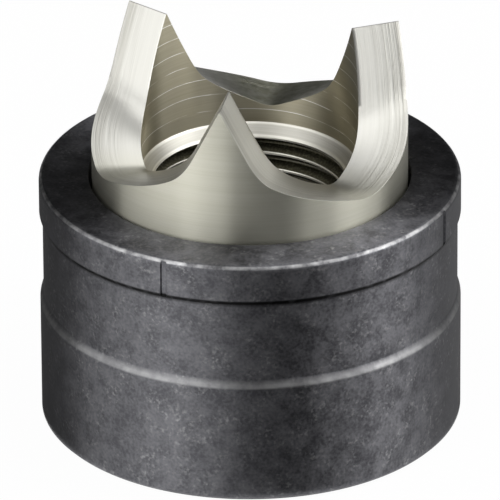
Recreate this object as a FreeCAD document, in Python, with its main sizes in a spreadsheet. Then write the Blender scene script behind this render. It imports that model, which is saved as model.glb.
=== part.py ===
import FreeCAD, Part
import Sketcher
import os

# Two-piece sheet metal hole punch: a threaded cutting punch with three teeth
# stands in its cup-shaped die. The origin is the centre of the die's foot,
# +Z is the common axis, and the die's four alignment marks lie on X and Y.

os.makedirs("parts", exist_ok=True)
doc = FreeCAD.newDocument("sheet_metal_hole_punch")

# Driving dimensions in millimetres and degrees
DIMENSIONS = (
    # Die, outside
    ("die_diameter", 37.8),
    ("die_length", 23.25),
    ("ring_length", 3.75),
    ("ring_bevel_depth", 0.2),
    ("ring_bevel_height", 0.4),
    ("rim_radius", 0.5),
    ("waist_depth", 0.3),
    ("waist_length", 7.5),
    ("shoulder_rise", 0.7),
    ("foot_chamfer", 0.4),
    ("mark_width", 0.6),
    ("mark_count", 4),
    # Die, inside
    ("cutting_clearance", 0.3),
    ("cutting_land", 6.0),
    ("relief_step", 0.4),
    ("relief_taper_length", 1.0),
    ("floor_thickness", 5.25),
    ("floor_corner", 0.8),
    ("stud_clearance", 0.3),
    ("stud_hole_chamfer", 0.6),
    # Punch, body
    ("punch_diameter", 28.3),
    ("punch_length", 30.7),
    ("punch_base_chamfer", 1.0),
    ("thread_diameter", 19.05),
    ("thread_pitch", 1.5875),
    ("thread_entry_chamfer", 1.1),
    ("throat_clearance", 0.2),
    ("throat_depth", 12.35),
    # Punch, cutting crown
    ("valley_bearing", 73.2),
    ("tooth_count", 3),
    ("tip_blunting", 0.1),
    ("flank_angle", 63.56),
    ("valley_depth", 10.6),
    ("valley_angle", 13.73),
    ("valley_radius", 7.1),
    ("valley_blend_radius", 16.6),
    ("fan_depth", 10.95),
    ("fan_offset", 0.25),
    ("fan_radius", 0.25),
    ("fan_blend_radius", 2.5),
    ("fan_inset", 0.36),
    ("cutter_overrun", 0.35),
    ("cutter_overlap", 0.6),
    ("cutter_headroom", 3.0),
)

dims = doc.addObject("Spreadsheet::Sheet", "dims")
for row, (alias, value) in enumerate(DIMENSIONS, start=1):
    dims.set(f"A{row}", alias)
    dims.set(f"B{row}", str(value))
    dims.setAlias(f"B{row}", alias)

# Heights and radii that follow from the driving dimensions. Heights in the
# die count from its foot, heights in the punch from its base.
WORKED_OUT = (
    ("die_radius", "dims.die_diameter / 2"),
    ("waist_radius", "die_radius - dims.waist_depth"),
    ("foot_radius", "die_radius - dims.foot_chamfer"),
    ("ring_base", "dims.die_length - dims.ring_length"),
    ("ring_edge_radius", "die_radius - dims.ring_bevel_depth"),
    ("ring_edge_height", "ring_base + dims.ring_bevel_height"),
    ("waist_base", "ring_base - dims.waist_length"),
    ("shoulder_base", "waist_base - dims.shoulder_rise"),
    ("punch_radius", "dims.punch_diameter / 2"),
    ("base_radius", "punch_radius - dims.punch_base_chamfer"),
    ("land_radius", "punch_radius + dims.cutting_clearance"),
    ("land_base", "dims.die_length - dims.cutting_land"),
    ("relief_radius", "land_radius + dims.relief_step"),
    ("relief_top", "land_base - dims.relief_taper_length"),
    ("floor_corner_radius", "relief_radius - dims.floor_corner"),
    ("floor_corner_height", "dims.floor_thickness + dims.floor_corner"),
    ("stud_hole_radius", "dims.thread_diameter / 2 + dims.stud_clearance"),
    ("stud_hole_mouth", "stud_hole_radius + dims.stud_hole_chamfer"),
    ("stud_hole_top", "dims.floor_thickness - dims.stud_hole_chamfer"),
    ("thread_radius", "(dims.thread_diameter - 1.0825 * dims.thread_pitch) / 2"),
    ("thread_mouth", "thread_radius + dims.thread_entry_chamfer"),
    ("throat_radius", "dims.thread_diameter / 2 + dims.throat_clearance"),
    ("throat_base", "dims.punch_length - dims.throat_depth"),
    ("thread_top", "throat_base - (throat_radius - thread_radius)"),
    ("ridge_height", "dims.punch_length + dims.tip_blunting"),
    ("cutter_top", "ridge_height + dims.cutter_headroom"),
    ("half_pitch", "180 / dims.tooth_count"),
    ("spread", "tan(half_pitch * 1deg)"),
    ("flank_slope", "tan(dims.flank_angle * 1deg) * cos(half_pitch * 1deg)"),
    ("flank_lean", "atan(flank_slope) / 1deg"),
    ("outer_reach", "punch_radius + dims.cutter_overrun"),
    ("inner_reach", "throat_radius * cos(half_pitch * 1deg) - dims.fan_inset"),
    ("outer_slope", "tan(dims.valley_angle * 1deg)"),
    ("inner_slope", "outer_slope * (outer_reach - inner_reach + dims.fan_offset) / dims.fan_offset"),
)

layout = doc.addObject("Spreadsheet::Sheet", "layout")


def write_formulas(sheet, formulas):
    """Gives the sheet one aliased formula cell for each worked-out value."""
    for row, (alias, formula) in enumerate(formulas, start=1):
        sheet.set(f"A{row}", alias)
        sheet.set(f"B{row}", f"={formula}")
        sheet.setAlias(f"B{row}", alias)


def section_formulas(name, reach, slope, depth, bottom_radius, blend_radius):
    """Corner points of half a valley section that stands at a reach from the axis.

    The half section runs from a rounded bottom up a straight bed, round a blend
    and up a straight flank that meets the tooth ridge. Its bed line starts at a
    vertex under the rounded bottom, and bed and flank would meet at a knee.
    """
    lean = f"{name}_bed_lean"
    knee = f"({name}_vertex - ridge_height + spread * flank_slope * {reach})"
    return (
        (lean, f"atan({slope}) / 1deg"),
        (f"{name}_vertex",
         f"ridge_height - {depth} - {bottom_radius} * (1 / cos({lean} * 1deg) - 1)"),
        (f"{name}_knee_x", f"{knee} / (flank_slope - {slope})"),
        (f"{name}_knee_z", f"{name}_vertex + {slope} * {name}_knee_x"),
        (f"{name}_tangent", f"{blend_radius} * tan(abs(flank_lean - {lean}) * 0.5deg)"),
        (f"{name}_bottom_x", f"{bottom_radius} * sin({lean} * 1deg)"),
        (f"{name}_bottom_z", f"{name}_vertex + {slope} * {name}_bottom_x"),
        (f"{name}_bed_x", f"{name}_knee_x - {name}_tangent * cos({lean} * 1deg)"),
        (f"{name}_bed_z", f"{name}_knee_z - {name}_tangent * sin({lean} * 1deg)"),
        (f"{name}_flank_x", f"{name}_knee_x + {name}_tangent * cos(flank_lean * 1deg)"),
        (f"{name}_flank_z", f"{name}_knee_z + {name}_tangent * sin(flank_lean * 1deg)"),
        (f"{name}_wall_x", f"spread * {reach} + dims.cutter_overlap"),
        (f"{name}_wall_z", "ridge_height + flank_slope * dims.cutter_overlap"),
    )


OUTER_SECTION = section_formulas("outer", "outer_reach", "outer_slope", "dims.valley_depth",
                                 "dims.valley_radius", "dims.valley_blend_radius")
INNER_SECTION = section_formulas("inner", "inner_reach", "inner_slope", "dims.fan_depth",
                                 "dims.fan_radius", "dims.fan_blend_radius")
write_formulas(layout, WORKED_OUT + OUTER_SECTION + INNER_SECTION)
doc.recompute()


def size(name):
    """Present value of a cell, from either sheet."""
    sheet_name, _, alias = name.rpartition(".")
    value = getattr(doc.getObject(sheet_name or "layout"), alias)
    return float(getattr(value, "Value", value))


def bound(name):
    """Expression that points at a cell, from either sheet."""
    return name if "." in name else f"layout.{name}"


def origin_feature(body, role):
    """One of the body's own origin planes or axes."""
    return next(item for item in body.Origin.OriginFeatures if item.Role == role)


def new_sketch(body, name, role, offset=None):
    """Sketch on an origin plane of the body, moved along its normal by a cell's value."""
    sketch = body.newObject("Sketcher::SketchObject", name)
    sketch.AttachmentSupport = [(origin_feature(body, role), "")]
    sketch.MapMode = "FlatFace"
    if offset:
        sketch.setExpression(".AttachmentOffset.Base.z", bound(offset))
    return sketch


def bind(sketch, constraint, name):
    """Adds a dimension to the sketch and ties it to a cell."""
    index = sketch.addConstraint(constraint)
    sketch.setExpression(f"Constraints[{index}]", bound(name))


def pin(sketch, edge, end, across, up):
    """Ties one end of an edge to its distances across and up from the origin.

    An end that lies on an axis has no distance to it and is given as None there.
    """
    if across is None:
        sketch.addConstraint(Sketcher.Constraint("PointOnObject", edge, end, -2))
    else:
        bind(sketch, Sketcher.Constraint("DistanceX", -1, 1, edge, end, size(across)), across)
    if up is None:
        sketch.addConstraint(Sketcher.Constraint("PointOnObject", edge, end, -1))
    else:
        bind(sketch, Sketcher.Constraint("DistanceY", -1, 1, edge, end, size(up)), up)


def draw_outline(sketch, corners):
    """Closed outline of straight edges, with every corner tied to the sheets."""
    points = []
    for across, up in corners:
        x = size(across) if across else 0.0
        y = size(up) if up else 0.0
        points.append(FreeCAD.Vector(x, y, 0))
    count = len(points)
    for index in range(count):
        line = Part.LineSegment(points[index], points[(index + 1) % count])
        sketch.addGeometry(line)
    for index in range(count):
        following = (index + 1) % count
        sketch.addConstraint(Sketcher.Constraint("Coincident", index, 2, following, 1))
    for index, (across, up) in enumerate(corners):
        pin(sketch, index, 1, across, up)


def revolve(body, name, sketch):
    """Turns a half section once round the body's axis."""
    feature = body.newObject("PartDesign::Revolution", name)
    feature.Profile = sketch
    feature.ReferenceAxis = (sketch, ["V_Axis"])
    feature.Angle = 360.0
    return feature


def round_circle(body, name, feature, radius, circle_radius, height):
    """Rounds the circular edge that has the given radius and stands at the given height."""
    edges = []
    for number, edge in enumerate(feature.Shape.Edges, start=1):
        if not isinstance(edge.Curve, Part.Circle):
            continue
        same_radius = abs(edge.Curve.Radius - size(circle_radius)) < 1e-4
        if same_radius and abs(edge.Curve.Center.z - size(height)) < 1e-4:
            edges.append(f"Edge{number}")
    fillet = body.newObject("PartDesign::Fillet", name)
    fillet.Base = (feature, edges)
    fillet.setExpression("Radius", bound(radius))
    return fillet


def repeat_round_axis(body, name, feature, count):
    """Copies a feature evenly round the body's axis."""
    pattern = body.newObject("PartDesign::PolarPattern", name)
    pattern.Originals = [feature]
    pattern.Axis = (origin_feature(body, "Z_Axis"), [""])
    pattern.Angle = 360.0
    pattern.setExpression("Occurrences", count)
    body.Tip = pattern
    return pattern


def make_die():
    """Cup with a cutting ring, a narrower waist, a shoulder and a drilled floor."""
    body = doc.addObject("PartDesign::Body", "die")
    body.Label = "die"

    section = new_sketch(body, "die_section", "XZ_Plane")
    draw_outline(section, (
        ("stud_hole_radius", None),
        ("foot_radius", None),
        ("die_radius", "dims.foot_chamfer"),
        ("die_radius", "shoulder_base"),
        ("waist_radius", "waist_base"),
        ("waist_radius", "ring_base"),
        ("ring_edge_radius", "ring_base"),
        ("die_radius", "ring_edge_height"),
        ("die_radius", "dims.die_length"),
        ("land_radius", "dims.die_length"),
        ("land_radius", "land_base"),
        ("relief_radius", "relief_top"),
        ("relief_radius", "floor_corner_height"),
        ("floor_corner_radius", "dims.floor_thickness"),
        ("stud_hole_mouth", "dims.floor_thickness"),
        ("stud_hole_radius", "stud_hole_top"),
    ))
    cup = revolve(body, "cup", section)
    doc.recompute()

    rim = round_circle(body, "rim", cup, "dims.rim_radius", "die_radius", "dims.die_length")
    doc.recompute()

    # Each mark is an upright slot across the ring, as deep as the waist
    plan = new_sketch(body, "mark_plan", "XY_Plane", "dims.die_length")
    reach = size("die_radius") + 1.0
    half = size("dims.mark_width") / 2
    inner = size("waist_radius")
    corners = ((inner, -half), (reach, -half), (reach, half), (inner, half))
    points = [FreeCAD.Vector(x, y, 0) for x, y in corners]
    for index in range(4):
        plan.addGeometry(Part.LineSegment(points[index], points[(index + 1) % 4]))
    for index in range(4):
        plan.addConstraint(Sketcher.Constraint("Coincident", index, 2, (index + 1) % 4, 1))
    plan.addConstraint(Sketcher.Constraint("Horizontal", 0))
    plan.addConstraint(Sketcher.Constraint("Vertical", 1))
    plan.addConstraint(Sketcher.Constraint("Horizontal", 2))
    plan.addConstraint(Sketcher.Constraint("Symmetric", 3, 1, 3, 2, -1))
    bind(plan, Sketcher.Constraint("DistanceX", -1, 1, 3, 2, inner), "waist_radius")
    bind(plan, Sketcher.Constraint("Distance", 3, 2 * half), "dims.mark_width")
    across = plan.addConstraint(Sketcher.Constraint("DistanceX", -1, 1, 1, 1, reach))
    plan.setExpression(f"Constraints[{across}]", "layout.die_radius + 1")
    mark = body.newObject("PartDesign::Pocket", "mark")
    mark.Profile = plan
    mark.setExpression("Length", "dims.ring_length")
    doc.recompute()
    repeat_round_axis(body, "marks", mark, "dims.mark_count")
    doc.recompute()
    if body.Shape.Volume >= rim.Shape.Volume:
        raise RuntimeError("the alignment marks cut nothing")
    return body


def draw_valley_section(body, name, reach, bottom_radius, blend_radius, hollow):
    """Closed section of the cutter for one valley, square to the valley's direction.

    From the middle outwards the lower side is a round bottom, a straight bed, a
    blend and a straight flank. The blend is hollow where the flank is steeper
    than the bed, and domed where the bed is the steeper one.
    """
    sketch = new_sketch(body, f"{name}_section", "XZ_Plane", reach)

    def point(corner, side):
        """Corner of the half section on the right (1) or mirrored to the left (-1)."""
        return FreeCAD.Vector(side * size(f"{name}_{corner}_x"), size(f"{name}_{corner}_z"), 0)

    def arc(start, end, radius, hollow):
        """Short arc between two corners, anticlockwise, with its centre above when hollow."""
        left, right = sorted((start, end), key=lambda corner: corner.x)
        chord = right - left
        upward = FreeCAD.Vector(-chord.y, chord.x, 0).normalize()
        sagitta = radius - (radius ** 2 - (chord.Length / 2) ** 2) ** 0.5
        middle = (left + right) * 0.5
        if hollow:
            return Part.Arc(left, middle - upward * sagitta, right)
        return Part.Arc(right, middle + upward * sagitta, left)

    top = size("cutter_top")
    bottom = arc(point("bottom", -1), point("bottom", 1), size(bottom_radius), True)
    sketch.addGeometry(bottom)
    for side in (1, -1):
        wall_top = FreeCAD.Vector(side * size(f"{name}_wall_x"), top, 0)
        sketch.addGeometry(Part.LineSegment(point("bottom", side), point("bed", side)))
        sketch.addGeometry(arc(point("bed", side), point("flank", side), size(blend_radius), hollow))
        sketch.addGeometry(Part.LineSegment(point("flank", side), point("wall", side)))
        sketch.addGeometry(Part.LineSegment(point("wall", side), wall_top))
    left_top = FreeCAD.Vector(-size(f"{name}_wall_x"), top, 0)
    right_top = FreeCAD.Vector(size(f"{name}_wall_x"), top, 0)
    sketch.addGeometry(Part.LineSegment(left_top, right_top))
    return sketch


def arc_ends(sketch, edge, start):
    """Numbers of an arc's ends in the sketch: the end that lies at start comes first."""
    near = sketch.Geometry[edge].StartPoint.distanceToPoint(start) < 1e-6
    return (1, 2) if near else (2, 1)


def tie_valley_section(sketch, name, bottom_radius, blend_radius):
    """Joins the edges of a valley section and ties its corners and radii."""
    left = FreeCAD.Vector(-size(f"{name}_bottom_x"), size(f"{name}_bottom_z"), 0)
    bottom_left, bottom_right = arc_ends(sketch, 0, left)
    for first, bottom_end, side in ((1, bottom_right, 1), (5, bottom_left, -1)):
        bed, blend, flank, wall = range(first, first + 4)
        start = FreeCAD.Vector(side * size(f"{name}_bed_x"), size(f"{name}_bed_z"), 0)
        blend_start, blend_end = arc_ends(sketch, blend, start)
        joints = ((0, bottom_end, bed, 1), (bed, 2, blend, blend_start),
                  (blend, blend_end, flank, 1), (flank, 2, wall, 1))
        for edge, end, following, start_end in joints:
            sketch.addConstraint(Sketcher.Constraint("Coincident", edge, end, following, start_end))
        sketch.addConstraint(Sketcher.Constraint("Coincident", wall, 2, 9, 1 if side < 0 else 2))
    for edge, corner in ((1, "bottom"), (3, "flank"), (4, "wall")):
        pin(sketch, edge, 1, f"{name}_{corner}_x", f"{name}_{corner}_z")
    pin(sketch, 1, 2, f"{name}_bed_x", f"{name}_bed_z")
    pin(sketch, 4, 2, f"{name}_wall_x", "cutter_top")
    for right, left, ends in ((1, 5, (1, 2)), (3, 7, (1, 2)), (4, 8, (2,))):
        for end in ends:
            sketch.addConstraint(Sketcher.Constraint("Symmetric", left, end, right, end, -2))
    bind(sketch, Sketcher.Constraint("Radius", 0, size(bottom_radius)), bottom_radius)
    for blend in (2, 6):
        bind(sketch, Sketcher.Constraint("Radius", blend, size(blend_radius)), blend_radius)


def make_punch():
    """Threaded sleeve whose upper end is cut into three teeth with horizontal ridges."""
    body = doc.addObject("PartDesign::Body", "punch")
    body.Label = "punch"

    section = new_sketch(body, "punch_section", "XZ_Plane")
    draw_outline(section, (
        ("thread_mouth", None),
        ("base_radius", None),
        ("punch_radius", "dims.punch_base_chamfer"),
        ("punch_radius", "dims.punch_length"),
        ("throat_radius", "dims.punch_length"),
        ("throat_radius", "throat_base"),
        ("thread_radius", "thread_top"),
        ("thread_radius", "dims.thread_entry_chamfer"),
    ))
    sleeve = revolve(body, "sleeve", section)
    doc.recompute()

    # The cutter for a valley is ruled between a narrow section near the axis
    # and a wide one outside the punch, so that its bed fans out while its
    # flanks stay flat and meet the next valley's in a level ridge
    inner = draw_valley_section(body, "inner", "inner_reach", "dims.fan_radius",
                                "dims.fan_blend_radius", hollow=False)
    tie_valley_section(inner, "inner", "dims.fan_radius", "dims.fan_blend_radius")
    outer = draw_valley_section(body, "outer", "outer_reach", "dims.valley_radius",
                                "dims.valley_blend_radius", hollow=True)
    tie_valley_section(outer, "outer", "dims.valley_radius", "dims.valley_blend_radius")
    doc.recompute()
    valley = body.newObject("PartDesign::SubtractiveLoft", "valley")
    valley.Profile = inner
    valley.Sections = [outer]
    valley.Ruled = True
    doc.recompute()
    repeat_round_axis(body, "crown", valley, "dims.tooth_count")
    doc.recompute()
    if body.Shape.Volume >= valley.Shape.Volume or valley.Shape.Volume >= sleeve.Shape.Volume:
        raise RuntimeError("the valleys between the teeth cut nothing")

    # The punch stands on the die's floor, turned by the bearing of one valley
    body.setExpression(".Placement.Base.z", "dims.floor_thickness")
    body.setExpression(".Placement.Rotation.Yaw", "dims.valley_bearing")
    return body


sub_parts = [make_die(), make_punch()]
doc.recompute()

for item in doc.Objects:
    if "Invalid" in item.State or "Error" in item.State:
        raise RuntimeError(f"{item.Name} failed: {item.State}")
for sub_part in sub_parts:
    if sub_part.Shape.isNull() or not sub_part.Shape.isValid():
        raise RuntimeError(f"{sub_part.Label} has no valid shape")

for sub_part in sub_parts:
    sub_part.Shape.exportStep(os.path.join("parts", f"{sub_part.Label}.step"))
    box = sub_part.Shape.BoundBox
    print(sub_part.Label, len(sub_part.Shape.Solids), round(sub_part.Shape.Volume, 1),
          [round(value, 3) for value in (box.XMin, box.XMax, box.YMin, box.YMax, box.ZMin, box.ZMax)])
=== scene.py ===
import math

import bmesh
import bpy
import numpy as np
from mathutils import Matrix, Vector


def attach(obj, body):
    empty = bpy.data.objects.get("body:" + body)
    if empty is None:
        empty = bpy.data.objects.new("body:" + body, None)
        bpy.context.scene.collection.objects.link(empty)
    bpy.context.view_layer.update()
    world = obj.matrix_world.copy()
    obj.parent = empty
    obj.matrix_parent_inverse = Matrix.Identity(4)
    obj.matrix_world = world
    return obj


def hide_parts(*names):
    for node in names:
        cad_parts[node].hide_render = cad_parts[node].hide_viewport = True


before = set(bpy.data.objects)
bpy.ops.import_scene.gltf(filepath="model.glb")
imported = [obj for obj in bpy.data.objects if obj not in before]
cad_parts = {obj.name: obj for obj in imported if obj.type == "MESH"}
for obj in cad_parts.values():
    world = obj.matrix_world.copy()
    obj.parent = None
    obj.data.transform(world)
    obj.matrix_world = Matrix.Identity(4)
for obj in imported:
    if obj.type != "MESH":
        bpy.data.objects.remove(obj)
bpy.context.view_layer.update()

# Sizes in millimetres above the die's foot and from its axis, bearings in degrees from +X
MM = 0.001
MERGE_DISTANCE = 0.0002

DIE_RADIUS = 18.9
DIE_TOP = 23.25
FOOT_CHAMFER = 0.4
SKIRT_TOP = 11.3
WAIST_RADIUS = 18.6
WAIST_BASE = 12.0
RING_BASE = 19.5
RING_BEVEL_WIDTH = 0.2
RING_BEVEL_HEIGHT = 0.4
RIM_ROUND = 0.5
CUTTING_BORE_RADIUS = 14.45
CUTTING_BORE_BASE = 17.25
RELIEF_RADIUS = 14.85
RELIEF_TOP = 16.25
FLOOR_TOP = 5.25
FLOOR_CORNER = 0.8
STUD_HOLE_RADIUS = 9.825
STUD_HOLE_CHAMFER = 0.6
MARK_HALF_WIDTH = 0.3
MARK_DEPTH = 0.15
MARK_WALL = 0.09

PUNCH_RADIUS = 14.15
PUNCH_TOP = 35.95
BASE_CHAMFER = 1.0
THROAT_RADIUS = 9.725
THROAT_BASE = 23.6
THREAD_PITCH = 1.5875
THREAD_MINOR = 8.666
THREAD_MAJOR = 9.525
THREAD_MOUTH = 9.766
THREAD_TOP = THROAT_BASE - (THROAT_RADIUS - THREAD_MINOR)
THREAD_RUN_OUT = 0.4
CREST_HEIGHT = 20.95
CREST_BEARING = 82.0
CREST_SHARE = 0.125

VALLEY_BEARING = -16.8
VALLEY_STEP = 120.0
RIDGE_TOP = 36.05
FLANK_SLOPE = 1.0055
INNER_SECTION = dict(reach=4.5025, bottom=25.1, slope=10.01, bottom_radius=0.25, blend_radius=2.5)
OUTER_SECTION = dict(reach=14.5, bottom=25.45, slope=0.2443, bottom_radius=7.1, blend_radius=16.6)
OUTER_BREAK = 0.005
INNER_BREAK = 0.012
UV_SCALE = 0.1
# Middle of a patch of painted shade on one valley's bed
SHADE_PATCH_RADIUS = 12.5
SHADE_PATCH_BEARING = VALLEY_BEARING + VALLEY_STEP - 3.0
SHADE_PATCH_HEIGHT = 26.5

# Material slots of the punch, in the order in which they are filled
GROUND_WALL, MILLED_CROWN, BORED_WALL, THREAD_STEEL = range(4)


# Meshes

def mesh_object(name, points, faces, uv=None, slots=None, smooth_below=28.0):
    """Object from points in millimetres and quads, with one UV pair for each face corner."""
    mesh = bpy.data.meshes.new(name)
    mesh.from_pydata((points * MM).tolist(), [], faces.tolist())
    if uv is not None:
        layer = mesh.uv_layers.new(name="surface")
        layer.data.foreach_set("uv", uv.astype(np.float32).ravel())
    if slots is not None:
        mesh.polygons.foreach_set("material_index", slots.astype(np.int32))
    clean = bmesh.new()
    clean.from_mesh(mesh)
    bmesh.ops.remove_doubles(clean, verts=clean.verts, dist=MERGE_DISTANCE * MM)
    bmesh.ops.recalc_face_normals(clean, faces=clean.faces)
    clean.to_mesh(mesh)
    clean.free()
    mesh.polygons.foreach_set("use_smooth", np.ones(len(mesh.polygons), bool))
    mesh.set_sharp_from_angle(angle=math.radians(smooth_below))
    mesh.update()
    piece = bpy.data.objects.new(name, mesh)
    bpy.context.scene.collection.objects.link(piece)
    return piece


def grid_faces(rows, columns, closed_rows=False):
    """Quads of a grid that closes round its columns, and round its rows too if asked."""
    row = np.arange(rows if closed_rows else rows - 1)[:, None]
    column = np.arange(columns)[None, :]
    below = (row % rows) * columns
    above = ((row + 1) % rows) * columns
    beside = (column + 1) % columns
    quads = np.stack([below + column, below + beside, above + beside, above + column], axis=-1)
    return quads.reshape(-1, 4)


def polar(radius, bearing, height):
    """Points (r cos b, r sin b, z) from radius r, bearing b in radians from +X, and height z."""
    radius, bearing, height = np.broadcast_arrays(radius, bearing, height)
    return np.stack([radius * np.cos(bearing), radius * np.sin(bearing), height], axis=-1)


def rounded_outline(corners, steps=6, support=0.04):
    """Closed outline of (across, up) points with every corner rounded by its radius.

    Each corner (x, z, radius) becomes an arc that touches both edges: its centre
    lies on the corner's bisector at radius / sin(half the corner's angle). One
    more point on each edge, just beyond the arc, keeps the flats flat.
    """
    outline = []
    count = len(corners)
    for number, (x, z, radius) in enumerate(corners):
        here = np.array([x, z])
        back = np.array(corners[number - 1][:2]) - here
        ahead = np.array(corners[(number + 1) % count][:2]) - here
        back_length, ahead_length = np.linalg.norm(back), np.linalg.norm(ahead)
        back, ahead = back / back_length, ahead / ahead_length
        half = math.acos(np.clip(back @ ahead, -1, 1)) / 2
        reach = radius / math.tan(half)
        centre = here + (back + ahead) / np.linalg.norm(back + ahead) * radius / math.sin(half)
        start, end = here + back * reach - centre, here + ahead * reach - centre
        turn = math.atan2(start[0] * end[1] - start[1] * end[0], start @ end)
        angle = np.linspace(0, turn, steps + 1)
        arc = np.stack([start[0] * np.cos(angle) - start[1] * np.sin(angle),
                        start[0] * np.sin(angle) + start[1] * np.cos(angle)], axis=-1) + centre
        before = here + back * (reach + min(support, 0.3 * (back_length - reach)))
        after = here + ahead * (reach + min(support, 0.3 * (ahead_length - reach)))
        outline.append(np.vstack([before, arc, after]))
    return np.vstack(outline)


# Die

def die_bearings():
    """Bearings round the die: every degree, and closer at the four marks' walls."""
    wall = (MARK_HALF_WIDTH + np.array([-0.13, -MARK_WALL, -MARK_WALL / 2, 0.0, 0.04, 0.12])) / DIE_RADIUS
    near = np.concatenate([-wall[::-1], [0.0], wall])
    quarter = np.radians(np.arange(2.5, 88.0, 1.0))
    one = np.concatenate([near, quarter])
    return np.concatenate([one + turn * math.pi / 2 for turn in range(4)])


def make_die():
    """Die turned from its half outline, with four upright marks milled across the ring.

    A point of the outline (r, z) goes to (r cos b, r sin b, z) at each bearing b.
    Within a mark's width, points above the ring's base keep a radius under the
    mark's depth, with a steep ramp at each wall.
    """
    outline = rounded_outline((
        (STUD_HOLE_RADIUS, 0.0, 0.2),
        (DIE_RADIUS - FOOT_CHAMFER, 0.0, 0.12),
        (DIE_RADIUS, FOOT_CHAMFER, 0.15),
        (DIE_RADIUS, SKIRT_TOP, 0.5),
        (WAIST_RADIUS, WAIST_BASE, 0.4),
        (WAIST_RADIUS, RING_BASE, 0.03),
        (DIE_RADIUS - RING_BEVEL_WIDTH, RING_BASE, 0.03),
        (DIE_RADIUS, RING_BASE + RING_BEVEL_HEIGHT, 0.08),
        (DIE_RADIUS, DIE_TOP, RIM_ROUND),
        (CUTTING_BORE_RADIUS, DIE_TOP, 0.05),
        (CUTTING_BORE_RADIUS, CUTTING_BORE_BASE, 0.1),
        (RELIEF_RADIUS, RELIEF_TOP, 0.1),
        (RELIEF_RADIUS, FLOOR_TOP + FLOOR_CORNER, 0.3),
        (RELIEF_RADIUS - FLOOR_CORNER, FLOOR_TOP, 0.3),
        (STUD_HOLE_RADIUS + STUD_HOLE_CHAMFER, FLOOR_TOP, 0.1),
        (STUD_HOLE_RADIUS, FLOOR_TOP - STUD_HOLE_CHAMFER, 0.1),
    ))
    bearing = die_bearings()
    offset = (bearing + math.pi / 4) % (math.pi / 2) - math.pi / 4
    depth = MARK_DEPTH * np.clip((MARK_HALF_WIDTH - np.abs(offset) * DIE_RADIUS) / MARK_WALL, 0, 1)
    radius = np.repeat(outline[:, :1], len(bearing), axis=1)
    height = np.repeat(outline[:, 1:], len(bearing), axis=1)
    on_ring = height > RING_BASE - 0.02
    radius = np.where(on_ring, np.minimum(radius, DIE_RADIUS - depth[None, :]), radius)
    points = polar(radius, bearing[None, :], height)
    faces = grid_faces(len(outline), len(bearing), closed_rows=True)
    return mesh_object("die_body", points.reshape(-1, 3), faces)


# Punch

def half_section(reach, bottom, slope, bottom_radius, blend_radius):
    """Half of a valley's section: (across, up) points from the valley's middle to the ridge.

    The bottom is an arc, the bed a straight line that climbs at the slope, the
    blend an arc that touches bed and flank, and the flank a straight line up to
    the blunted ridge. All lengths follow from where bed and flank would meet.
    """
    bed, flank = math.atan(slope), math.atan(FLANK_SLOPE)
    vertex = bottom - bottom_radius * (1 / math.cos(bed) - 1)
    ridge = math.sqrt(3) * reach
    knee = (vertex - RIDGE_TOP + FLANK_SLOPE * ridge) / (FLANK_SLOPE - slope)
    knee_height = vertex + slope * knee
    blend = blend_radius * math.copysign(1, flank - bed)
    tangent = blend * math.tan((flank - bed) / 2)
    angle = np.linspace(0, bed, 11)
    bottom_arc = np.stack([bottom_radius * np.sin(angle),
                           vertex + bottom_radius / math.cos(bed) - bottom_radius * np.cos(angle)], axis=-1)
    bed_end = np.array([knee - tangent * math.cos(bed), knee_height - tangent * math.sin(bed)])
    angle = np.linspace(bed, flank, 17)
    blend_arc = np.stack([bed_end[0] - blend * math.sin(bed) + blend * np.sin(angle),
                          bed_end[1] + blend * math.cos(bed) - blend * np.cos(angle)], axis=-1)
    blunt = np.array([ridge - (RIDGE_TOP - PUNCH_TOP) / FLANK_SLOPE, PUNCH_TOP])
    share = np.linspace(0, 1, 21)[1:, None]
    bed_line = bottom_arc[-1] + (bed_end - bottom_arc[-1]) * share[:-1]
    flank_line = blend_arc[-1] + (blunt - blend_arc[-1]) * share
    return np.vstack([bottom_arc, bed_line, blend_arc, flank_line, [[ridge, PUNCH_TOP]]])


def crown_points(radii):
    """Ruled surface of half a valley at the given radii from the axis.

    A ruling joins equal places of the inner and the outer section. Along it the
    share t solves (D1 + t dD)^2 + (u1 + t du)^2 = r^2, where D is the distance
    along the valley and u the distance across it. Returns D, u and z.
    """
    inner, outer = half_section(**INNER_SECTION), half_section(**OUTER_SECTION)
    near, far = INNER_SECTION["reach"], OUTER_SECTION["reach"]
    along, across, rise = far - near, outer[:, 0] - inner[:, 0], outer[:, 1] - inner[:, 1]
    square = along ** 2 + across ** 2
    linear = near * along + inner[:, 0] * across
    rest = near ** 2 + inner[:, 0] ** 2 - radii[:, None] ** 2
    share = (-linear + np.sqrt(linear ** 2 - square * rest)) / square
    return near + share * along, inner[:, 0] + share * across, inner[:, 1] + share * rise


def around_crown(half, sign):
    """Lays a half valley's columns out to both sides of three valleys, in order of bearing."""
    left, right = sign * half[..., ::-1], half
    valley = np.concatenate([left[..., :-1], right[..., :-1]], axis=-1)
    return np.concatenate([valley] * 3, axis=-1)


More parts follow.
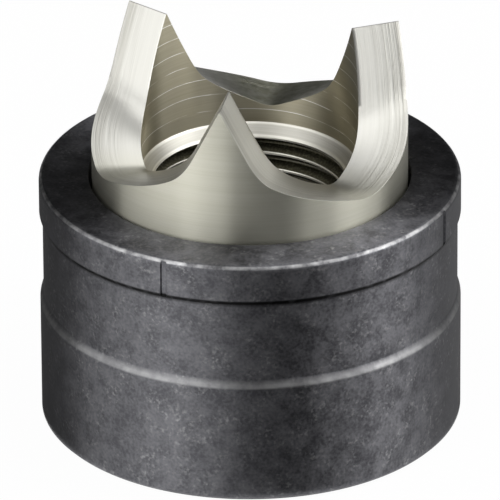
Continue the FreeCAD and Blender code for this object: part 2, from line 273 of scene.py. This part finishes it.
def make_sleeve():
    """Base, outer wall, crown, throat and thread entry of the punch as one grid of rings.

    Every ring has the same columns. The crown's rings lie on its ruled surface
    at falling radii, and the walls drop straight from its outer and inner edge.
    The UV pair is the radius and the way along the ring from a valley's middle,
    both in centimetres: the walls keep the way of the crown's edge next to them.
    """
    radii = np.concatenate([
        [PUNCH_RADIUS - OUTER_BREAK],
        np.linspace(PUNCH_RADIUS - 0.3, THROAT_RADIUS + 0.3, 22),
        [THROAT_RADIUS + INNER_BREAK],
    ])
    edges = np.array([PUNCH_RADIUS, THROAT_RADIUS])
    along, across, height = crown_points(np.concatenate([edges, radii]))
    turn = np.arctan2(across, along)
    step = np.hypot(np.diff(across, axis=1), np.diff(height, axis=1))
    travel = np.concatenate([np.zeros((len(step), 1)), np.cumsum(step, axis=1)], axis=1)

    count = turn.shape[1]
    centre = np.repeat(np.radians(VALLEY_BEARING + np.arange(3) * VALLEY_STEP), 2 * (count - 1))
    bearing = centre + around_crown(turn, -1)
    level = around_crown(height, 1)
    starts = around_crown(travel, -1)
    ends = np.concatenate([-travel[:, ::-1][:, 1:], travel[:, 1:]], axis=1)
    ends = np.concatenate([ends] * 3, axis=1)

    outer_turn, inner_turn = bearing[0], bearing[1]
    outer_edge, inner_edge = level[0] - OUTER_BREAK, level[1] - INNER_BREAK
    base = FLOOR_TOP + BASE_CHAMFER
    wall = base + (outer_edge - base) * np.linspace(0, 1, 9)[1:, None]
    throat = inner_edge + (THROAT_BASE - inner_edge) * np.linspace(0, 1, 9)[:, None]
    rings = [
        polar(THREAD_MOUTH, inner_turn, FLOOR_TOP)[None],
        polar(PUNCH_RADIUS - BASE_CHAMFER, outer_turn, FLOOR_TOP)[None],
        polar(PUNCH_RADIUS, outer_turn, base)[None],
        polar(PUNCH_RADIUS, outer_turn[None, :], wall),
        polar(radii[:, None], bearing[2:], level[2:]),
        polar(THROAT_RADIUS, inner_turn[None, :], throat),
        polar(THREAD_MINOR, inner_turn, THREAD_TOP)[None],
    ]
    points = np.concatenate(rings)
    rows, columns = points.shape[:2]
    first, last = 3 + len(wall), 3 + len(wall) + len(radii)

    faces = grid_faces(rows, columns)
    begin, finish = np.zeros((2, rows, columns))
    begin[first:last], finish[first:last] = starts[2:], ends[2:]
    begin[:first], finish[:first] = begin[first], finish[first]
    begin[last:], finish[last:] = begin[last - 1], finish[last - 1]
    radius = np.hypot(points[..., 0], points[..., 1])
    low, high = slice(0, rows - 1), slice(1, rows)
    corners = [(radius[low], begin[low]), (radius[low], finish[low]),
               (radius[high], finish[high]), (radius[high], begin[high])]
    uv = np.stack([np.stack(corner, axis=-1) for corner in corners], axis=2).reshape(-1, 2) * UV_SCALE
    row_slot = np.full(rows - 1, GROUND_WALL)
    row_slot[first - 1:last] = MILLED_CROWN
    row_slot[last:] = BORED_WALL
    row_slot[-1] = THREAD_STEEL
    slots = np.repeat(row_slot, columns)
    return points.reshape(-1, 3), faces, uv, slots, inner_turn


def make_thread(bearing):
    """Internal right-hand thread between the base and the entry cone under the throat.

    The rows climb by one pitch round the axis, so that crest and root run along
    them. Within a pitch the radius is the minor one over a narrow crest with
    rounded edges, climbs over a quarter, is the major one over a tenth and
    falls again. The rows start whole pitches under a crest of known height and
    bearing. The grooves run out below the upper cone, and the radius is never
    under the lower one's. Rows past an end are folded onto it.
    """
    knots = np.array([0, 0.03, 0.06, 0.09, 0.12, 0.15, 0.18, 0.33, 0.48, 0.6, 0.72, 0.86])
    root = np.array([0.09, 0.035, 0.008, 0, 0.008, 0.035, 0.09, 0.52, 0.93, 1, 0.93, 0.5])
    depth = (THREAD_MAJOR - THREAD_MINOR) * root
    pitches = math.ceil((THREAD_TOP - FLOOR_TOP) / THREAD_PITCH) + 2
    start = CREST_HEIGHT - (CREST_SHARE + CREST_BEARING / 360) * THREAD_PITCH
    start -= math.ceil((start - FLOOR_TOP) / THREAD_PITCH + 1 + bearing[0] / (2 * math.pi)) * THREAD_PITCH
    height = start + (np.arange(pitches + 1)[:, None] + knots).ravel() * THREAD_PITCH
    depth = np.tile(depth, pitches + 1)

    lift = THREAD_PITCH * bearing / (2 * math.pi)
    level = np.clip(height[:, None] + lift[None, :], FLOOR_TOP, THREAD_TOP)
    run_out = np.clip((THREAD_TOP - level) / THREAD_RUN_OUT, 0, 1)
    lower_cone = THREAD_MOUTH - (level - FLOOR_TOP)
    reach = np.maximum(THREAD_MINOR + depth[:, None] * run_out, lower_cone)
    points = polar(reach, bearing[None, :], level)

    columns, shift = len(bearing), len(knots)
    rows = points.shape[0] - shift
    row = np.arange(rows - 1)[:, None]
    column = np.arange(columns)[None, :]
    beside = (column + 1) % columns
    climb = np.where(column == columns - 1, shift, 0)
    quads = np.stack([row * columns + column, (row + climb) * columns + beside,
                      (row + 1 + climb) * columns + beside, (row + 1) * columns + column], axis=-1)
    quads = quads.reshape(-1, 4)
    flat = points.reshape(-1, 3)
    span = flat[quads][:, :, 2]
    at_end = (span.max(1) <= FLOOR_TOP) | (span.min(1) >= THREAD_TOP)
    quads = quads[~at_end]
    used, quads = np.unique(quads, return_inverse=True)
    return flat[used], quads.reshape(-1, 4)


def make_punch():
    """Closed mesh of the punch: sleeve and crown joined to the thread in its bore."""
    sleeve, sleeve_faces, sleeve_uv, sleeve_slots, bearing = make_sleeve()
    thread, thread_faces = make_thread(bearing)
    points = np.vstack([sleeve, thread])
    faces = np.vstack([sleeve_faces, thread_faces + len(sleeve)])
    uv = np.vstack([sleeve_uv, np.zeros((len(thread_faces) * 4, 2))])
    slots = np.concatenate([sleeve_slots, np.full(len(thread_faces), THREAD_STEEL)])
    return mesh_object("punch_body", points, faces, uv, slots)


# Materials

class Nodes:
    """Small helper that adds nodes to a tree and links them as it goes."""

    def __init__(self, tree):
        self.tree = tree

    def add(self, kind, inputs=(), **settings):
        """New node with its settings and inputs: an input is a value or another node's output."""
        node = self.tree.nodes.new(kind)
        for name, value in settings.items():
            setattr(node, name, value)
        for name, value in dict(inputs).items():
            if isinstance(value, bpy.types.NodeSocket):
                self.tree.links.new(value, node.inputs[name])
            else:
                node.inputs[name].default_value = value
        return node

    def math(self, operation, first, second=0.0):
        """Value of an operation on one or two numbers."""
        return self.add("ShaderNodeMath", {0: first, 1: second}, operation=operation).outputs[0]

    def ramp(self, value, low, high, to_low=0.0, to_high=1.0):
        """Straight change from to_low to to_high between low and high, flat beyond them."""
        inputs = {"Value": value, "From Min": low, "From Max": high, "To Min": to_low, "To Max": to_high}
        return self.add("ShaderNodeMapRange", inputs).outputs["Result"]

    def band(self, value, rise, full, fall, end):
        """1 from full to fall, 0 before rise and after end, all in millimetres."""
        risen = self.ramp(value, rise * MM, full * MM)
        return self.math("MULTIPLY", risen, self.ramp(value, end * MM, fall * MM))

    def noise(self, place, scale, detail=2.0):
        """Noise round 0.5, with about as many waves in each unit of the place as the scale says."""
        inputs = {"Vector": place, "Scale": scale, "Detail": detail}
        return self.add("ShaderNodeTexNoise", inputs).outputs["Fac"]

    def radius(self, place):
        """Distance of a place from the Z axis."""
        flat = self.stretch(place, (1.0, 1.0, 0.0))
        return self.add("ShaderNodeVectorMath", {0: flat}, operation="LENGTH").outputs["Value"]

    def stretch(self, place, factors):
        """Place vector with each axis multiplied by its factor."""
        inputs = {0: place, 1: factors}
        return self.add("ShaderNodeVectorMath", inputs, operation="MULTIPLY").outputs["Vector"]

    def blend(self, share, first, second):
        """Colour between two colours by a share from 0 to 1."""
        node = self.add("ShaderNodeMix", data_type="RGBA")
        for socket, value in zip((node.inputs[0], node.inputs[6], node.inputs[7]), (share, first, second)):
            if isinstance(value, bpy.types.NodeSocket):
                self.tree.links.new(value, socket)
            else:
                socket.default_value = value
        return node.outputs[2]


def make_scratch_group():
    """Node group of fine lines: noise drawn long one way, in two widths, as a mask from 0 to 1."""
    group = bpy.data.node_groups.new("fine_lines", "ShaderNodeTree")
    group.interface.new_socket("Place", in_out="INPUT", socket_type="NodeSocketVector")
    group.interface.new_socket("Stretch", in_out="INPUT", socket_type="NodeSocketVector")
    group.interface.new_socket("Lines", in_out="OUTPUT", socket_type="NodeSocketFloat")
    nodes = Nodes(group)
    given = nodes.add("NodeGroupInput")
    drawn = nodes.stretch(given.outputs["Place"], given.outputs["Stretch"])
    fine = nodes.noise(drawn, 1.0, 3.0)
    broad = nodes.noise(drawn, 0.23, 1.0)
    both = nodes.math("ADD", nodes.math("MULTIPLY", fine, 0.6), nodes.math("MULTIPLY", broad, 0.4))
    lines = nodes.ramp(both, 0.36, 0.64)
    nodes.add("NodeGroupOutput", {"Lines": lines})
    return group


def new_material(name):
    """Empty node material with a Principled BSDF and its output."""
    material = bpy.data.materials.new(name)
    material.use_nodes = True
    material.node_tree.nodes.clear()
    nodes = Nodes(material.node_tree)
    shader = nodes.add("ShaderNodeBsdfPrincipled")
    nodes.add("ShaderNodeOutputMaterial", {"Surface": shader.outputs["BSDF"]})
    return material, nodes, shader


def set_metal(nodes, shader, anisotropic):
    """Bare metal whose turning lines run round the Z axis."""
    shader.inputs["Metallic"].default_value = 1.0
    shader.inputs["Anisotropic"].default_value = anisotropic
    shader.inputs["Anisotropic Rotation"].default_value = 0.25
    tangent = nodes.add("ShaderNodeTangent", direction_type="RADIAL", axis="Z")
    nodes.tree.links.new(tangent.outputs["Tangent"], shader.inputs["Tangent"])


def make_black_oxide():
    """Blackened steel: clouds, pale specks in patches, painted highlights on the shoulder
    and the rim's round, and painted shade under the ring.

    The rim's painted highlight follows radius + height, which is largest on its
    round: there it is the sum of both less (2 - root of 2) times the round's radius.
    """
    material, nodes, shader = new_material("black_oxide_steel")
    place = nodes.add("ShaderNodeTexCoord").outputs["Object"]
    axes = nodes.add("ShaderNodeSeparateXYZ", {"Vector": place}).outputs
    level = axes["Z"]
    radius = nodes.radius(place)
    cloud = nodes.noise(place, 620.0, 4.0)
    grain = nodes.noise(place, 3600.0, 3.0)
    tone = nodes.math("ADD", nodes.math("MULTIPLY", cloud, 0.55), nodes.math("MULTIPLY", grain, 0.45))
    base = nodes.blend(nodes.ramp(tone, 0.38, 0.62), (0.098, 0.098, 0.107, 1), (0.195, 0.195, 0.208, 1))
    speck = nodes.ramp(nodes.noise(place, 2900.0, 4.0), 0.52, 0.76)
    patch = nodes.ramp(nodes.noise(place, 520.0, 3.0), 0.42, 0.68)
    specks = nodes.math("MULTIPLY", nodes.math("MULTIPLY", speck, patch), 0.6)
    colour = nodes.blend(specks, base, (0.5, 0.5, 0.5, 1))
    outside = nodes.ramp(radius, (WAIST_RADIUS - 0.6) * MM, (WAIST_RADIUS - 0.4) * MM)
    # Painted highlight: the shoulder's band is lightened towards pale grey, broken up by noise.
    painted_shoulder_highlight = nodes.band(level, SKIRT_TOP - 0.18, SKIRT_TOP + 0.02, WAIST_BASE - 0.45, WAIST_BASE)
    painted_shoulder_highlight = nodes.math("MULTIPLY", painted_shoulder_highlight, outside)
    shoulder_highlight_breakup = nodes.ramp(nodes.noise(place, 1100.0, 3.0), 0.3, 0.7, 0.45, 1.0)
    colour = nodes.blend(nodes.math("MULTIPLY", painted_shoulder_highlight, shoulder_highlight_breakup), colour, (0.42, 0.42, 0.425, 1))
    # Painted highlight: the top of the rim's round is lightened towards pale grey, broken up by noise.
    rim_peak = DIE_RADIUS + DIE_TOP - (2 - math.sqrt(2)) * RIM_ROUND
    painted_rim_highlight = nodes.ramp(nodes.math("ADD", radius, level), (rim_peak - 0.067) * MM, (rim_peak - 0.012) * MM)
    wear_and_highlight_breakup = nodes.ramp(nodes.noise(place, 900.0, 4.0), 0.35, 0.65, 0.15, 1.0)
    colour = nodes.blend(nodes.math("MULTIPLY", painted_rim_highlight, wear_and_highlight_breakup), colour, (0.66, 0.66, 0.665, 1))
    # Painted shade: a near-black line on the ring's bevel and on the waist just under it, broken up by
    # noise.
    under_ring = nodes.band(level, RING_BASE - 0.35, RING_BASE + 0.05, RING_BASE + 0.3, RING_BASE + 0.48)
    painted_shade = nodes.math("MULTIPLY", under_ring, outside)
    broken = nodes.ramp(nodes.noise(place, 900.0, 2.0), 0.3, 0.5, 0.55, 0.97)
    colour = nodes.blend(nodes.math("MULTIPLY", painted_shade, broken), colour, (0.008, 0.008, 0.008, 1))
    roughness = nodes.ramp(tone, 0.38, 0.62, 0.36, 0.5)
    relief = nodes.math("ADD", tone, nodes.math("MULTIPLY", specks, 0.3))
    bump = nodes.add("ShaderNodeBump", {"Strength": 0.35, "Distance": 0.01 * MM, "Height": relief})
    set_metal(nodes, shader, 0.92)
    nodes.tree.links.new(colour, shader.inputs["Base Color"])
    nodes.tree.links.new(roughness, shader.inputs["Roughness"])
    nodes.tree.links.new(bump.outputs["Normal"], shader.inputs["Normal"])
    return material


def start_bright_steel(name, coordinates, stretch, scratches):
    """Bright steel's tree, its place vector and its fine lines along the way the tool went."""
    material, nodes, shader = new_material(name)
    place = nodes.add("ShaderNodeTexCoord").outputs[coordinates]
    group = nodes.add("ShaderNodeGroup", node_tree=scratches)
    nodes.tree.links.new(place, group.inputs["Place"])
    group.inputs["Stretch"].default_value = stretch
    shader.inputs["Metallic"].default_value = 1.0
    return material, nodes, shader, place, group.outputs["Lines"]


def finish_bright_steel(nodes, shader, colour, roughness, height, depth):
    """Links a bright steel's colour, roughness and relief to its shader."""
    bump = nodes.add("ShaderNodeBump", {"Strength": 1.0, "Distance": depth, "Height": height})
    nodes.tree.links.new(colour, shader.inputs["Base Color"])
    nodes.tree.links.new(roughness, shader.inputs["Roughness"])
    nodes.tree.links.new(bump.outputs["Normal"], shader.inputs["Normal"])


def make_ground_wall(scratches):
    """Outer wall, ground round the axis."""
    material, nodes, shader, _, lines = start_bright_steel(
        "ground_wall", "Object", (120.0, 120.0, 9000.0), scratches)
    colour = nodes.blend(lines, (0.625, 0.615, 0.515, 1), (0.665, 0.655, 0.56, 1))
    set_metal(nodes, shader, 0.95)
    roughness = nodes.ramp(lines, 0.0, 1.0, 0.42, 0.37)
    finish_bright_steel(nodes, shader, colour, roughness, lines, 0.0003 * MM)
    return material


def make_milled_crown(scratches):
    """Crown, with fine lines that follow its edges and are deepest near the outer one.

    Painted shade darkens the colour low in its valleys. One valley has a patch of
    painted shade: full near a point on its bed, then less with the distance from
    it, in streaks of noise.
    """
    material, nodes, shader, place, lines = start_bright_steel(
        "milled_crown", "UV", (100.0, 1.5, 1.0), scratches)
    radius = nodes.add("ShaderNodeSeparateXYZ", {"Vector": place}).outputs["X"]
    near_edge = nodes.ramp(radius, 11.2 * UV_SCALE, 13.4 * UV_SCALE, 0.18, 1.0)
    marks = nodes.math("MULTIPLY", lines, near_edge)
    colour = nodes.blend(marks, (0.69, 0.683, 0.638, 1), (0.5, 0.49, 0.445, 1))
    spot = nodes.add("ShaderNodeTexCoord").outputs["Object"]
    level = nodes.add("ShaderNodeSeparateXYZ", {"Vector": spot}).outputs["Z"]
    # Painted shade: colour darkened low in the valleys, fully under 25.5 mm and gone above 26.3 mm.
    painted_bed_shade = nodes.ramp(level, 25.5 * MM, 26.3 * MM, 0.35, 0.0)
    colour = nodes.blend(painted_bed_shade, colour, (0.5, 0.49, 0.39, 1))
    # Painted shade: a dark patch on one valley, full near a point on its bed and fading with distance, in
    # streaks of noise.
    middle = tuple(polar(SHADE_PATCH_RADIUS, math.radians(SHADE_PATCH_BEARING), SHADE_PATCH_HEIGHT) * MM)
    away = nodes.add("ShaderNodeVectorMath", {0: spot, 1: middle}, operation="DISTANCE").outputs["Value"]
    streaks = nodes.ramp(nodes.noise(spot, 1500.0, 3.0), 0.35, 0.65, 0.6, 1.0)
    painted_patch_shade = nodes.math("MULTIPLY", nodes.ramp(away, 3.5 * MM, 7.5 * MM, 1.0, 0.0), streaks)
    colour = nodes.blend(painted_patch_shade, colour, (0.3, 0.3, 0.23, 1))
    roughness = nodes.ramp(marks, 0.0, 1.0, 0.33, 0.38)
    finish_bright_steel(nodes, shader, colour, roughness, marks, 0.015 * MM)
    return material


def make_bored_wall(scratches):
    """Throat, bored round the axis, with thin scratches that climb one thread pitch a turn.

    The scratches lie where z / pitch - bearing / 360 degrees is near a whole number.
    """
    material, nodes, shader, place, lines = start_bright_steel(
        "bored_wall", "Object", (120.0, 120.0, 7000.0), scratches)
    axes = nodes.add("ShaderNodeSeparateXYZ", {"Vector": place}).outputs
    turns = nodes.math("DIVIDE", nodes.math("ARCTAN2", axes["Y"], axes["X"]), 2 * math.pi)
    climb = nodes.math("SUBTRACT", nodes.math("DIVIDE", axes["Z"], THREAD_PITCH * MM), turns)
    wobble = nodes.math("MULTIPLY", nodes.noise(place, 150.0, 1.0), 0.25)
    turn_part = nodes.math("FRACT", nodes.math("ADD", climb, wobble))
    off_line = nodes.math("ABSOLUTE", nodes.math("SUBTRACT", turn_part, 0.5))
    scratch = nodes.ramp(off_line, 0.015, 0.03, 1.0, 0.0)
    wear_and_highlight_breakup = nodes.ramp(nodes.noise(place, 330.0, 2.0), 0.35, 0.5)
    scratch = nodes.math("MULTIPLY", scratch, wear_and_highlight_breakup)
    colour = nodes.blend(lines, (0.5, 0.462, 0.345, 1), (0.55, 0.512, 0.395, 1))
    colour = nodes.blend(scratch, colour, (0.98, 0.97, 0.93, 1))
    set_metal(nodes, shader, 0.95)
    relief = nodes.math("ADD", nodes.math("MULTIPLY", lines, 0.08), scratch)
    roughness = nodes.ramp(lines, 0.0, 1.0, 0.44, 0.38)
    finish_bright_steel(nodes, shader, colour, roughness, relief, 0.009 * MM)
    return material


def make_thread_steel(scratches):
    """Thread and its entries: bright on the crests, with painted shade in the grooves.

    The depth into a groove is the radius less the crest's, but no more than the
    distance under the thread's top. The entry cone is darker between its two
    edges, and the grooves' roots are rubbed in lines.
    """
    material, nodes, shader, place, lines = start_bright_steel(
        "thread_steel", "Object", (120.0, 120.0, 9000.0), scratches)
    level = nodes.add("ShaderNodeSeparateXYZ", {"Vector": place}).outputs["Z"]
    radius = nodes.radius(place)
    under_crest = nodes.math("SUBTRACT", radius, THREAD_MINOR * MM)
    under_top = nodes.math("SUBTRACT", THREAD_TOP * MM, level)
    depth = nodes.math("MINIMUM", under_crest, under_top)
    # Painted shade: the colour goes dark deeper into a groove.
    dark = nodes.ramp(depth, 0.03 * MM, 0.1 * MM)
    steel = nodes.blend(lines, (0.6, 0.585, 0.52, 1), (0.88, 0.865, 0.8, 1))
    # Darker colour on the entry cone between its two edges.
    darker_cone_band = nodes.band(radius, THREAD_MINOR + 0.134, THREAD_MINOR + 0.254,
                      THROAT_RADIUS - 0.225, THROAT_RADIUS - 0.105)
    steel = nodes.blend(nodes.math("MULTIPLY", darker_cone_band, 0.7), steel, (0.4, 0.39, 0.35, 1))
    # Painted shade: near-black colour for the grooves, mottled by noise, with lighter rubbed lines at the
    # roots.
    painted_shade = nodes.blend(nodes.ramp(nodes.noise(place, 5000.0, 2.0), 0.45, 0.7),
                      (0.045, 0.042, 0.028, 1), (0.1, 0.095, 0.065, 1))
    rubbed_root = nodes.math("MULTIPLY", nodes.ramp(depth, 0.8 * MM, 0.85 * MM), lines)
    painted_shade = nodes.blend(nodes.math("MULTIPLY", rubbed_root, 0.6), painted_shade, (0.5, 0.49, 0.44, 1))
    colour = nodes.blend(dark, steel, painted_shade)
    roughness = nodes.ramp(dark, 0.0, 1.0, 0.38, 0.45)
    finish_bright_steel(nodes, shader, colour, roughness, lines, 0.006 * MM)
    return material


die = make_die()
punch = make_punch()
scratches = make_scratch_group()
die.data.materials.append(make_black_oxide())
for make in (make_ground_wall, make_milled_crown, make_bored_wall, make_thread_steel):
    punch.data.materials.append(make(scratches))
for piece, node in ((die, "die"), (punch, "punch")):
    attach(piece, node)
    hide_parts(node)


# Studio

# The camera's bearing is in degrees from -Y towards +X, and all others here are from the camera's
CAMERA_BEARING = 24.0
CAMERA_ELEVATION = 26.745
CAMERA_DISTANCE = 949.46
CAMERA_LENS = 761.6
CAMERA_ROLL = -0.347
AIM_RIGHT = -0.028
AIM_HEIGHT = 15.495
LAMP_AIM_HEIGHT = 20.0
ROOM_LIGHT = 0.04
FLOOR_HALF = 6000.0
FLOOR_DROP = 0.02
FLOOR_WHITE = 0.97

# Name, bearing and elevation in degrees, distance, width and height in metres, and radiance
SOFTBOXES = (
    ("left_softbox", -58, 17, 0.6, 1.12, 0.44, 1.4),
    ("right_softbox", 84, 26, 0.6, 0.5, 0.38, 2.5),
    ("front_softbox", 45, 24, 0.7, 0.2, 0.24, 1.8),
    ("right_strip", 82, 36, 0.6, 0.14, 0.3, 1.9),
    ("left_strip", -46, 34, 0.6, 0.14, 0.3, 2.1),
    ("top_softbox", 95, 69, 0.66, 1.2, 0.72, 1.4),
    ("left_ceiling", -112, 56, 0.72, 0.6, 0.45, 0.5),
    ("left_top_softbox", -60, 54, 0.72, 0.5, 0.36, 1.4),
    ("back_fill", 145, 18, 0.8, 0.4, 0.3, 0.15),
)

# How much of the floor the felt covers, from 0 to 1, by the way it lies from the die
FELT_BEARINGS = (-180, -158, -143, -128, -113, -98, -83, -68, -53, -38, -23, -8,
                 7, 22, 37, 52, 67, 82, 97, 112, 127, 142, 160, 180)
FELT_COVER = (0.87, 0.93, 0.9, 0.86, 0.75, 0.55, 0.25, 0.03, 0.0, 0.08, 0.3, 0.58,
              0.84, 0.96, 0.93, 0.74, 0.55, 0.44, 0.46, 0.5, 0.56, 0.64, 0.75, 0.87)
FELT_REACH = (0.3, 4.0, 10.0, 25.0, 60.0, 150.0, 400.0, 900.0)
FELT_HEIGHT = 0.5
FELT_OPEN_RINGS = 3


def direction(bearing, elevation):
    """Unit vector towards a bearing to the right of the camera's side and an elevation.

    With both angles in radians it is (sin turn cos lift, -cos turn cos lift, sin lift).
    """
    turn, lift = math.radians(CAMERA_BEARING + bearing), math.radians(elevation)
    return Vector((math.sin(turn) * math.cos(lift), -math.cos(turn) * math.cos(lift), math.sin(lift)))


def aim(thing, place, target, roll=0.0):
    """Puts a lamp or camera at a place, facing the target, rolled about its own axis."""
    turned = (target - place).to_track_quat("-Z", "Y").to_matrix().to_4x4()
    thing.matrix_world = Matrix.Translation(place) @ turned @ Matrix.Rotation(math.radians(roll), 4, "Z")


def make_camera():
    """Long lens that looks down at a point near the axis from the camera's bearing."""
    data = bpy.data.cameras.new("camera")
    data.lens = CAMERA_LENS
    data.sensor_width = 36.0
    data.clip_start, data.clip_end = 0.05, 20.0
    camera = bpy.data.objects.new("camera", data)
    bpy.context.scene.collection.objects.link(camera)
    target = direction(90.0, 0.0) * AIM_RIGHT * MM + Vector((0, 0, AIM_HEIGHT * MM))
    place = target + direction(0.0, CAMERA_ELEVATION) * CAMERA_DISTANCE * MM
    aim(camera, place, target, CAMERA_ROLL)
    bpy.context.scene.camera = camera


def add_softbox(name, bearing, elevation, distance, width, height, radiance):
    """Flat lamp whose power gives the wanted radiance: power = pi * area * radiance."""
    data = bpy.data.lights.new(name, "AREA")
    data.shape = "RECTANGLE"
    data.size, data.size_y = width, height
    data.energy = math.pi * width * height * radiance
    lamp = bpy.data.objects.new(name, data)
    lamp.visible_camera = False
    bpy.context.scene.collection.objects.link(lamp)
    middle = Vector((0, 0, LAMP_AIM_HEIGHT * MM))
    aim(lamp, middle + direction(bearing, elevation) * distance, middle)


def make_world():
    """Dim even room light round the softboxes."""
    world = bpy.data.worlds.new("studio")
    bpy.context.scene.world = world
    world.use_nodes = True
    background = world.node_tree.nodes["Background"]
    background.inputs["Color"].default_value = (1.0, 1.0, 1.0, 1)
    background.inputs["Strength"].default_value = ROOM_LIGHT


def stage_sheet(name, corners, faces, material):
    """Flat sheet of the studio, with corners in metres."""
    mesh = bpy.data.meshes.new(name)
    mesh.from_pydata(corners, [], faces)
    mesh.materials.append(material)
    sheet = bpy.data.objects.new(name, mesh)
    bpy.context.scene.collection.objects.link(sheet)
    return sheet


def make_floor():
    """Pale floor that camera, mirror and glass rays see as white, with the object's shadow."""
    material, nodes, shader = new_material("pale_floor")
    shader.inputs["Base Color"].default_value = (0.85, 0.85, 0.85, 1)
    shader.inputs["Roughness"].default_value = 0.9
    path = nodes.add("ShaderNodeLightPath").outputs
    seen = nodes.math("MAXIMUM", path["Is Camera Ray"], path["Is Glossy Ray"])
    seen = nodes.math("MAXIMUM", seen, path["Is Transmission Ray"])
    glow = nodes.add("ShaderNodeEmission")
    mix = nodes.add("ShaderNodeMixShader", {"Fac": nodes.math("MULTIPLY", seen, FLOOR_WHITE),
                                            1: shader.outputs["BSDF"], 2: glow.outputs["Emission"]})
    output = next(node for node in nodes.tree.nodes if node.type == "OUTPUT_MATERIAL")
    nodes.tree.links.new(mix.outputs["Shader"], output.inputs["Surface"])
    sides = ((-1, -1), (1, -1), (1, 1), (-1, 1))
    corners = [(x * FLOOR_HALF * MM, y * FLOOR_HALF * MM, -FLOOR_DROP * MM) for x, y in sides]
    stage_sheet("floor", corners, [(0, 1, 2, 3)], material)


def add_floor_felt():
    """Black felt round the object, only seen in the metal, that covers the floor more or less.

    It is laid along the level directions in which a view from the front leaves the
    die's wall: from the wall's bearing a, towards bearing 2a. Its cover is kept as
    its U and depends on 2a alone. Its first rings stay open behind the die.
    """
    material, nodes, shader = new_material("dark_felt")
    shader.inputs["Base Color"].default_value = (0.03, 0.03, 0.03, 1)
    shader.inputs["Roughness"].default_value = 0.9
    place = nodes.add("ShaderNodeTexCoord").outputs["UV"]
    cover = nodes.add("ShaderNodeSeparateXYZ", {"Vector": place}).outputs["X"]
    nodes.tree.links.new(cover, shader.inputs["Alpha"])
    wall = np.arange(-90, 91, 2.5)
    shade = np.interp(2 * wall, FELT_BEARINGS, FELT_COVER)
    reach = np.array(FELT_REACH)[:, None] * MM
    first, second = np.radians(CAMERA_BEARING + wall), np.radians(CAMERA_BEARING + 2 * wall)
    corners = np.stack([DIE_RADIUS * MM * np.sin(first) + reach * np.sin(second),
                        -DIE_RADIUS * MM * np.cos(first) - reach * np.cos(second),
                        np.full((len(reach), len(wall)), FELT_HEIGHT * MM)], axis=-1).reshape(-1, 3)
    faces = grid_faces(len(reach), len(wall))
    ring, column = np.divmod(np.arange(len(faces)), len(wall))
    faces = faces[(column < len(wall) - 1) | (ring >= FELT_OPEN_RINGS)]
    felt = stage_sheet("floor_felt", corners.tolist(), faces.tolist(), material)
    layer = felt.data.uv_layers.new(name="cover")
    cover = np.tile(shade, len(reach))[faces].ravel()
    layer.data.foreach_set("uv", np.stack([cover, cover], axis=-1).astype(np.float32).ravel())
    felt.visible_camera = felt.visible_diffuse = felt.visible_shadow = felt.visible_transmission = False


bpy.context.scene.view_settings.view_transform = "Standard"
make_camera()
make_world()
make_floor()
add_floor_felt()
for softbox in SOFTBOXES:
    add_softbox(*softbox)
